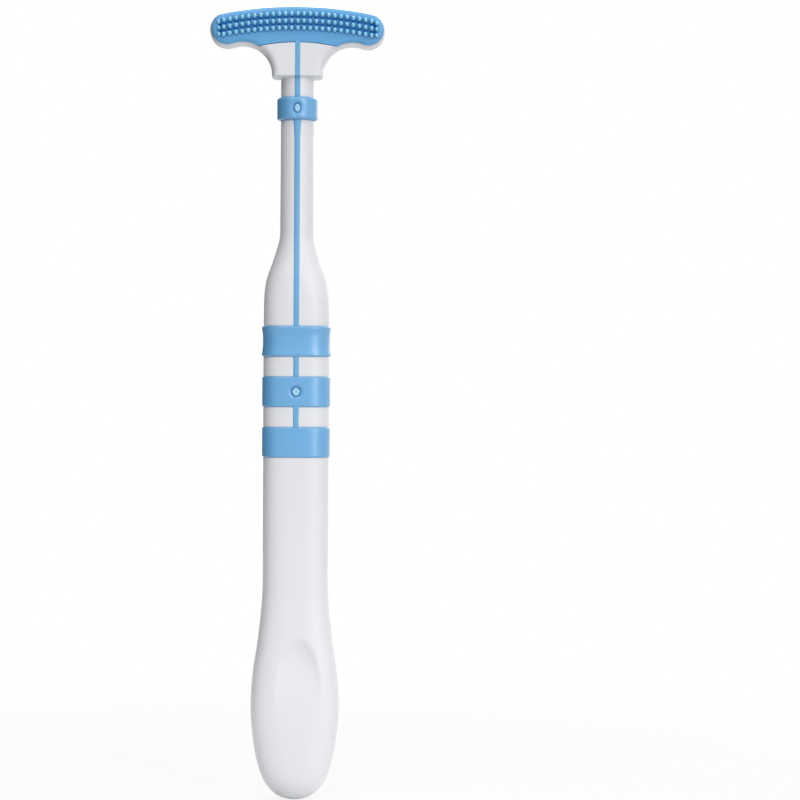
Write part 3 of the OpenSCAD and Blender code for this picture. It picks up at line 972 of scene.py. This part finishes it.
collar_profile = rounded_profile(
    collar_bottom, collar_top, COLLAR_PROUD, COLLAR_PROUD, COLLAR_DEPTH, COLLAR_EDGE
)
sleeve_piece(
    "collar_ring", "neck_collar", collar_profile, fine_front_angles(*COLLAR_FRONT),
    gate_z=(collar_bottom + collar_top) / 2, tail=(collar_top - collar_bottom) / 2,
)


# Scraper ribs: rounded ridges on the back of the head, with rounded ends

RIB_SUNK = -0.3
RIB_SIDE = (0.1, 0.4)
RIB_SHOULDER = 0.55
RIB_DOME = 0.45
RIB_DOME_STEPS = 12
RIB_END_STEPS = 8
RIB_END_FIRST = 0.1
RIB_END_LAST = pi / 2 - 0.12
RIB_END_LEVEL = 0.2
RIB_TIP_HEIGHT = 0.55  # share of the height at the very end, and the rest of it
RIB_TIP_RISE = 0.45
CROWN_MARGIN = 0.01  # angles that keep rings clear of the crown's corners
HOOK_MARGIN = 0.015
CROWN_STEPS = 60
HOOK_BEND_STEPS = 18
HOOK_STEPS = 6
SHORT_RIB_STEPS = 36
POST_SIDES = 24
POST_LENGTH = 6.8
POST_TIP = 0.05
POST_LEVELS = ((0.1, 0.6), (0.25, 1), (0.6, 1))  # distance from its end, share of the radius
POST_MIDDLE = (3, 1)

# The section: (across, up) as shares of the rib's width and height
RIB_SECTION = [(-0.5, RIB_SUNK)]
RIB_SECTION += [(-0.5, v) for v in RIB_SIDE]
RIB_SECTION += [
    (-0.5 * cos(a), RIB_SHOULDER + RIB_DOME * sin(a)) for a in steps(0, pi, RIB_DOME_STEPS)
]
RIB_SECTION += [(0.5, v) for v in reversed(RIB_SIDE)]
RIB_SECTION += [(0.5, RIB_SUNK)]


def rib_ring(a, inset, scale):
    ring = []
    for across, up in RIB_SECTION:
        x, z = edge_point(a, inset - across * RIB_WIDTH * scale)
        rise = up * RIB_HEIGHT * (1 if up < 0 else RIB_TIP_HEIGHT + RIB_TIP_RISE * scale)
        ring.append((x, HEAD_BACK + rise, z + HEAD_TOP))
    return ring


def rib_piece(name, node, angles, inset, radius):
    """A rib along the head's outline; radius is that of its path at the ends."""
    turn = RIB_WIDTH / 2 / radius
    rings = []
    for e in steps(RIB_END_LAST, RIB_END_FIRST, RIB_END_STEPS):
        rings.append(rib_ring(angles[0] - turn * sin(e), inset, cos(e)))
    rings += [rib_ring(a, inset, 1) for a in angles]
    for e in steps(RIB_END_FIRST, RIB_END_LAST, RIB_END_STEPS):
        rings.append(rib_ring(angles[-1] + turn * sin(e), inset, cos(e)))
    first_x, first_z = edge_point(angles[0] - turn, inset)
    last_x, last_z = edge_point(angles[-1] + turn, inset)
    shell = Shell()
    shell.tube(
        rings,
        (first_x, HEAD_BACK + RIB_END_LEVEL, first_z + HEAD_TOP),
        (last_x, HEAD_BACK + RIB_END_LEVEL, last_z + HEAD_TOP),
    )
    make_piece(name, shell, blue, "soft_blue", node)


corner = pi / 2 - crown_angle
hook_end = pi / 2 + HOOK_DROP / HOOK_RADIUS
hook = steps(corner + HOOK_MARGIN, pi / 2, HOOK_BEND_STEPS)
hook += steps(pi / 2, hook_end, HOOK_STEPS)[1:]
crown = steps(CROWN_MARGIN - corner, corner - CROWN_MARGIN, CROWN_STEPS)
rib_piece(
    "long_rib", "long_scraper_rib", [-a for a in reversed(hook)] + crown + hook,
    LONG_RIB_INSET, HOOK_RADIUS,
)
rib_piece(
    "short_rib", "short_scraper_rib", steps(-SHORT_RIB_ANGLE, SHORT_RIB_ANGLE, SHORT_RIB_STEPS),
    SHORT_RIB_INSET, CROWN_RADIUS - SHORT_RIB_INSET,
)

post_profile = [*POST_LEVELS, POST_MIDDLE]
post_profile += [(POST_LENGTH - end, share) for end, share in reversed(POST_LEVELS)]
pins = Shell()
for side in (-1, 1):
    for angle, inset in ((LONG_POST_ANGLE, LONG_RIB_INSET), (SHORT_POST_ANGLE, SHORT_RIB_INSET)):
        x, z = edge_point(side * angle, inset)
        z += HEAD_TOP
        rings = []
        for y, r in post_profile:
            rings.append([
                (x + POST_RADIUS * r * cos(a), y - SEAT_FRONT, z + POST_RADIUS * r * sin(a))
                for a in even_angles(POST_SIDES)
            ])
        ends = [(x, y - SEAT_FRONT, z) for y in (POST_TIP, POST_LENGTH - POST_TIP)]
        pins.tube(rings, *ends)
make_piece("feed_pins", pins, blue, "soft_blue", "rib_feed_posts")


# Floor and background. The camera and reflections see a white glow. The object gets the light of
# a dim world and of a matte floor that darkens with distance. Each SPAN is a stretch of distances
# from the foot of the object, with the values at its two ends below it.

WHITE = (1, 1, 1, 1)
FLOOR_HALF = 6
GLOW_SPAN = (0.06, 0.26)
GLOW_SHARE = (0.86, 1)
MATTE_SPAN = (0.05, 0.4)
MATTE_SHADE = (0.76, 0.3)
FLAG_CENTRE = (-0.24, 0.5, 0.4)
FLAG_ACROSS = (0.05, 0.7, 0)
FLAG_UP = (0, 0, 0.39)
FLAG_COLOUR = (0.03, 0.03, 0.03, 1)
FLAG_ROUGHNESS = 0.9
AMBIENT = 0.42


def stage_plane(name, centre, across, up, material, seen=True):
    """A rectangle that isn't part of the object, from its centre and half of each side."""
    mesh = bpy.data.meshes.new(name)
    c, u, v = Vector(centre), Vector(across), Vector(up)
    mesh.from_pydata([c - u - v, c + u - v, c + u + v, c - u + v], [], [(0, 1, 2, 3)])
    plane = bpy.data.objects.new(name, mesh)
    bpy.context.collection.objects.link(plane)
    mesh.materials.append(material)
    plane.visible_camera = seen


def floor_material():
    material = bpy.data.materials.new("studio_floor")
    material.use_nodes = True
    tree = material.node_tree
    tree.nodes.clear()
    place = tree.nodes.new("ShaderNodeTexCoord")
    length = tree.nodes.new("ShaderNodeVectorMath")
    length.operation = "LENGTH"
    tree.links.new(place.outputs["Object"], length.inputs[0])
    distance = length.outputs["Value"]
    matte = tree.nodes.new("ShaderNodeBsdfDiffuse")
    tree.links.new(map_range(tree, distance, MATTE_SPAN, MATTE_SHADE), matte.inputs["Color"])
    glow = tree.nodes.new("ShaderNodeEmission")
    glow.inputs["Color"].default_value = WHITE
    level = map_range(tree, distance, GLOW_SPAN, GLOW_SHARE)
    share = calculate(tree, "MULTIPLY", seen_rays(tree), level)
    mix_to_output(
        tree, share, matte.outputs["BSDF"], glow.outputs["Emission"], "ShaderNodeOutputMaterial"
    )
    return material


def flag_material():
    material = bpy.data.materials.new("dark_flag")
    material.use_nodes = True
    shader = material.node_tree.nodes["Principled BSDF"]
    shader.inputs["Base Color"].default_value = FLAG_COLOUR
    shader.inputs["Roughness"].default_value = FLAG_ROUGHNESS
    return material


stage_plane("floor", (0, 0, 0), (FLOOR_HALF, 0, 0), (0, FLOOR_HALF, 0), floor_material())
stage_plane("left_flag", FLAG_CENTRE, FLAG_ACROSS, FLAG_UP, flag_material(), seen=False)

world = bpy.data.worlds.new("studio")
bpy.context.scene.world = world
world.use_nodes = True
world.node_tree.nodes.clear()
backgrounds = []
for strength in (AMBIENT, 1):
    background = world.node_tree.nodes.new("ShaderNodeBackground")
    background.inputs["Color"].default_value = WHITE
    background.inputs["Strength"].default_value = strength
    backgrounds.append(background.outputs["Background"])
mix_to_output(world.node_tree, seen_rays(world.node_tree), *backgrounds, "ShaderNodeOutputWorld")


# Lamps: name, azimuth, elevation, distance, width, height, watts

LAMPS = (
    ("high_softbox", -28, 56, 2.4, 1.5, 1.9, 20.5),
    ("right_strip", 34, 18, 1.4, 0.34, 1.2, 7.4),
    ("top_softbox", 60, 80, 2.4, 1.5, 1.9, 3.5),
    ("rear_softbox", 152, 25, 1.4, 0.9, 1.1, 4),
    ("back_softbox", 180, 34, 1.4, 0.9, 1.1, 14.5),
)
LAMP_TARGET = Vector((0, 0, 0.1))


def softbox(name, azimuth, elevation, distance, width, height, watts):
    """Softbox aimed at the middle of the object; azimuth 0 is in front of the nubs, 90 is +X."""
    a, e = radians(azimuth), radians(elevation)
    spot = LAMP_TARGET + distance * Vector((sin(a) * cos(e), -cos(a) * cos(e), sin(e)))
    data = bpy.data.lights.new(name, "AREA")
    data.shape = "RECTANGLE"
    data.size = width
    data.size_y = height
    data.energy = watts
    lamp = bpy.data.objects.new(name, data)
    lamp.location = spot
    lamp.rotation_mode = "QUATERNION"
    lamp.rotation_quaternion = (LAMP_TARGET - spot).to_track_quat("-Z", "Y")
    lamp.visible_camera = False
    bpy.context.collection.objects.link(lamp)


for lamp_row in LAMPS:
    softbox(*lamp_row)


# Camera at the photograph's viewing angle

CAMERA_SPOT = Vector((4.58, -600, 94.18)) * MM
CAMERA_YAW = radians(1.82)
CAMERA_PITCH = radians(-0.318)
CAMERA_ROLL = radians(0.298)
FOCAL_PIXELS = 2634.9
FRAME_PIXELS = 800
SENSOR = 36
CLIP_START = 0.01
CLIP_END = 50

camera_data = bpy.data.cameras.new("photo_camera")
camera_data.sensor_width = SENSOR
camera_data.lens = FOCAL_PIXELS / FRAME_PIXELS * SENSOR
camera_data.clip_start = CLIP_START
camera_data.clip_end = CLIP_END
camera = bpy.data.objects.new("photo_camera", camera_data)
camera.location = CAMERA_SPOT
aim = Vector((
    sin(CAMERA_YAW) * cos(CAMERA_PITCH),
    cos(CAMERA_YAW) * cos(CAMERA_PITCH),
    sin(CAMERA_PITCH),
))
camera.rotation_mode = "QUATERNION"
camera.rotation_quaternion = aim.to_track_quat("-Z", "Y") @ Quaternion((0, 0, 1), CAMERA_ROLL)
bpy.context.collection.objects.link(camera)
bpy.context.scene.camera = camera
bpy.context.scene.view_settings.view_transform = "Standard"
